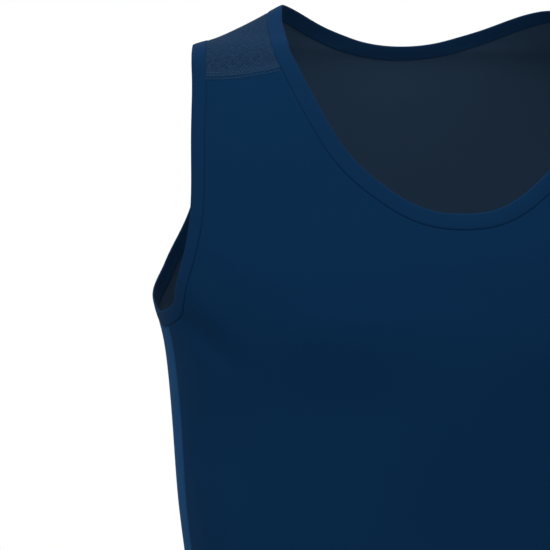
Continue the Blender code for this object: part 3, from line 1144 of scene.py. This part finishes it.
def jersey(name, wale, course):
    """Smooth knit: columns of small V-shaped loops, a little uneven in colour at random, with
    painted shade in the hollows between them, where the bump dips.
    """
    cloth = Cloth(name)
    edge = cloth.wave(cloth.across, wale)
    slanted = cloth.math("MULTIPLY_ADD", edge, course * LOOP_SLANT, cloth.up)
    loop = cloth.wave(slanted, course)
    column = cloth.math("SUBTRACT", 1.0, cloth.math("MULTIPLY", edge, edge))
    knit = cloth.blend((column, loop), COLUMN_AND_LOOP)
    yarn = cloth.noise("yarn")
    # The tone is random yarn and cloud unevenness together with the knit's bump: painted shade in
    # its hollows
    tone_and_shade = cloth.blend((knit, yarn, cloth.noise("cloud")), KNIT_YARN_CLOUD)
    height = cloth.math("MULTIPLY_ADD", yarn, YARN_RISE, knit)
    rough = cloth.math("MULTIPLY_ADD", yarn, YARN_ROUGHNESS, cloth.roughness)
    return cloth.finish(cloth.shade(cloth.colour, tone_and_shade), height, rough)


def jersey_back(name, wale, course):
    """The reverse of the knit: short arcs across, softer and greyer, with painted shade between the
    arcs where the bump dips.
    """
    cloth = Cloth(name)
    bowed = cloth.math("MULTIPLY_ADD", cloth.wave(cloth.across, wale), REVERSE_BOW, cloth.up)
    arc = cloth.wave(bowed, course)
    yarn = cloth.noise("reverse yarn")
    # The tone is random yarn and cloud unevenness together with the arcs' bump: painted shade
    # between them
    tone_and_shade = cloth.blend((arc, yarn, cloth.noise("reverse cloud")), ARC_YARN_CLOUD)
    return cloth.finish(cloth.shade(cloth.colour, tone_and_shade), cloth.math("ADD", arc, yarn))


def ripple(cloth, metres, noise, pitch):
    """A cosine along the cloth whose crests sway a little from their pitch."""
    sway = cloth.math("MULTIPLY", cloth.noise(noise), MESH_SWAY)
    turn = cloth.math("MULTIPLY", cloth.math("ADD", metres, sway), 2 * np.pi / pitch)
    return cloth.math("COSINE", turn)


def open_mesh(name, hole_shade):
    """Micro-mesh: small holes in staggered rows, painted darker than the threads between them as
    the shade seen through them.
    """
    cloth = Cloth(name)
    across = ripple(cloth, cloth.across, "sway across", MESH_PITCH[0])
    up = ripple(cloth, cloth.up, "sway up", MESH_PITCH[1])
    inputs = {"Value": cloth.math("MULTIPLY", across, up)}
    inputs["From Min"], inputs["From Max"] = HOLE_EDGE
    ramp = cloth.node("ShaderNodeMapRange", inputs, interpolation_type="SMOOTHSTEP").outputs[0]
    speckle = cloth.noise("speckle")
    colour = cloth.mix(cloth.shade(cloth.colour, speckle), cloth.shade(hole_shade, speckle), ramp)
    return cloth.finish(colour, cloth.math("SUBTRACT", 1.0, ramp))


def thread(name):
    cloth = Cloth(name)
    ply = cloth.noise("ply")
    # The ply noise is both the thread's random tone and its bump, so its dips are also painted
    # shade
    return cloth.finish(cloth.shade(cloth.colour, ply), ply)


def overlock(name):
    """Cloth edges under slanting overlock threads, which cross the strip side by side."""
    cloth = Cloth(name)
    slant = cloth.math("MULTIPLY_ADD", cloth.up, OVERLOCK_SLANT, cloth.across)
    loop = cloth.wave(slant, OVERLOCK_PITCH)
    # The tone is the threads' bump and random ply: painted shade between the slanting threads
    tone_and_shade = cloth.blend((loop, cloth.noise("overlock ply")), LOOP_AND_PLY)
    return cloth.finish(cloth.shade(cloth.colour, tone_and_shade), tone_and_shade)


# ---- the garment


def build_garment():
    """Every piece of cloth and thread."""
    reverse = jersey_back("jersey reverse", *REVERSE_PITCH)
    edge = overlock("overlocked edge")
    mesh = open_mesh("navy micro-mesh", MESH_HOLE_SHADE)
    backed_mesh = open_mesh("backed micro-mesh", BACKED_HOLE_SHADE)
    panel_faces = [jersey("navy jersey", *JERSEY_PITCH), reverse]
    side_faces = [jersey("blue jersey", *JERSEY_PITCH), reverse, edge]
    yoke_faces = [mesh, reverse, edge, backed_mesh]
    # The bands' outside, and their inside: the same binding painted lighter, as painted light on
    # its shaded inner face
    band_faces = [jersey(name, *BINDING_PITCH) for name in ("navy binding", "binding inside, painted lighter")]
    thread_face = thread("blue thread")

    front = front_panel(panel_faces)
    back = back_panel(panel_faces)
    sides = {side: side_panel(side, side_faces) for side in SIDES}
    yokes = {side: shoulder_yoke(side, yoke_faces) for side in SIDES}
    neck_band = neck_binding(band_faces)
    arm_bands = {side: armhole_binding(side, band_faces) for side in SIDES}
    yoke_rows = {side: yoke_stitches(side, thread_face) for side in SIDES}
    hems = {part: hem_stitches(part, thread_face) for part in HEM_STRETCHES}


# ---- the studio

CAMERA_AT = (-0.4641, -1.7321, -0.1931)
CAMERA_LOOKS = (0.20430, 0.97890, 0.00269)
SENSOR = 36.0
FRAME_ANGLE = np.radians(12.27)
FLOOR_HEIGHT = -0.760
FLOOR_RADIUS = 2.4
FLOOR_SIDES = 96
FLOOR_COLOUR = (0.86, 0.86, 0.86, 1)
FLOOR_ROUGHNESS = 0.9
WHITE = (1, 1, 1, 1)
SURROUNDINGS = 0.36

# Soft lights. around is in degrees from the front towards +X, and up from the level.
#    name, around, up, strength, softness
LIGHTS = (
    ("above", -60, 80, 2.00, 60),
    ("front", 2, 18, 0.84, 90),
    ("right", -75, 10, 0.32, 60),
    ("behind", 165, 40, 0.90, 80),
)


def camera():
    made = bpy.data.cameras.new("camera")
    made.sensor_width = SENSOR
    made.lens = SENSOR / 2 / np.tan(FRAME_ANGLE / 2)
    holder = add_object("camera", made)
    holder.location = CAMERA_AT
    holder.rotation_euler = Vector(CAMERA_LOOKS).to_track_quat("-Z", "Y").to_euler()
    bpy.context.scene.camera = holder


def sun(name, around, up, strength, softness):
    """A soft light that comes from there."""
    turn, rise = np.radians((around, up))
    from_there = (np.sin(turn) * np.cos(rise), -np.cos(turn) * np.cos(rise), np.sin(rise))
    made = bpy.data.lights.new(name, "SUN")
    made.energy = strength
    made.angle = np.radians(softness)
    holder = add_object(name, made)
    holder.rotation_euler = Vector(from_there).to_track_quat("Z", "Y").to_euler()


def surroundings(strength):
    """White all round, seen as pure white and lighting the cloth at that strength."""
    world = bpy.data.worlds.new("studio")
    world.use_nodes = True
    tree = world.node_tree
    seen = add_node(tree, "ShaderNodeLightPath").outputs["Is Camera Ray"]
    light = tree.nodes["Background"]
    join(tree, light, {"Color": WHITE, "Strength": strength})
    clear = add_node(tree, "ShaderNodeBackground", {"Color": WHITE})
    mixed = enumerate((seen, light.outputs[0], clear.outputs[0]))
    mix = add_node(tree, "ShaderNodeMixShader", mixed)
    join(tree, tree.nodes["World Output"], {"Surface": mix.outputs[0]})
    bpy.context.scene.world = world


def floor():
    """A pale floor that takes shadows but throws no light back up at the cloth."""
    turn = np.linspace(0, 2 * np.pi, FLOOR_SIDES, endpoint=False)
    ring = np.stack([np.cos(turn), np.sin(turn), np.zeros_like(turn)], axis=1) * FLOOR_RADIUS
    mesh = bpy.data.meshes.new("floor")
    mesh.from_pydata((ring + (0, 0, FLOOR_HEIGHT)).tolist(), [], [list(range(len(ring)))])
    pale = bpy.data.materials.new("pale floor")
    pale.use_nodes = True
    tree = pale.node_tree
    look = {"Base Color": FLOOR_COLOUR, "Roughness": FLOOR_ROUGHNESS}
    join(tree, tree.nodes["Principled BSDF"], look)
    mesh.materials.append(pale)
    holder = add_object("floor", mesh)
    holder.visible_diffuse = False


def build_studio():
    camera()
    surroundings(SURROUNDINGS)
    for light in LIGHTS:
        sun(*light)
    floor()
    bpy.context.scene.view_settings.view_transform = "Standard"
    bpy.context.scene.view_settings.look = "None"


build_garment()
build_studio()
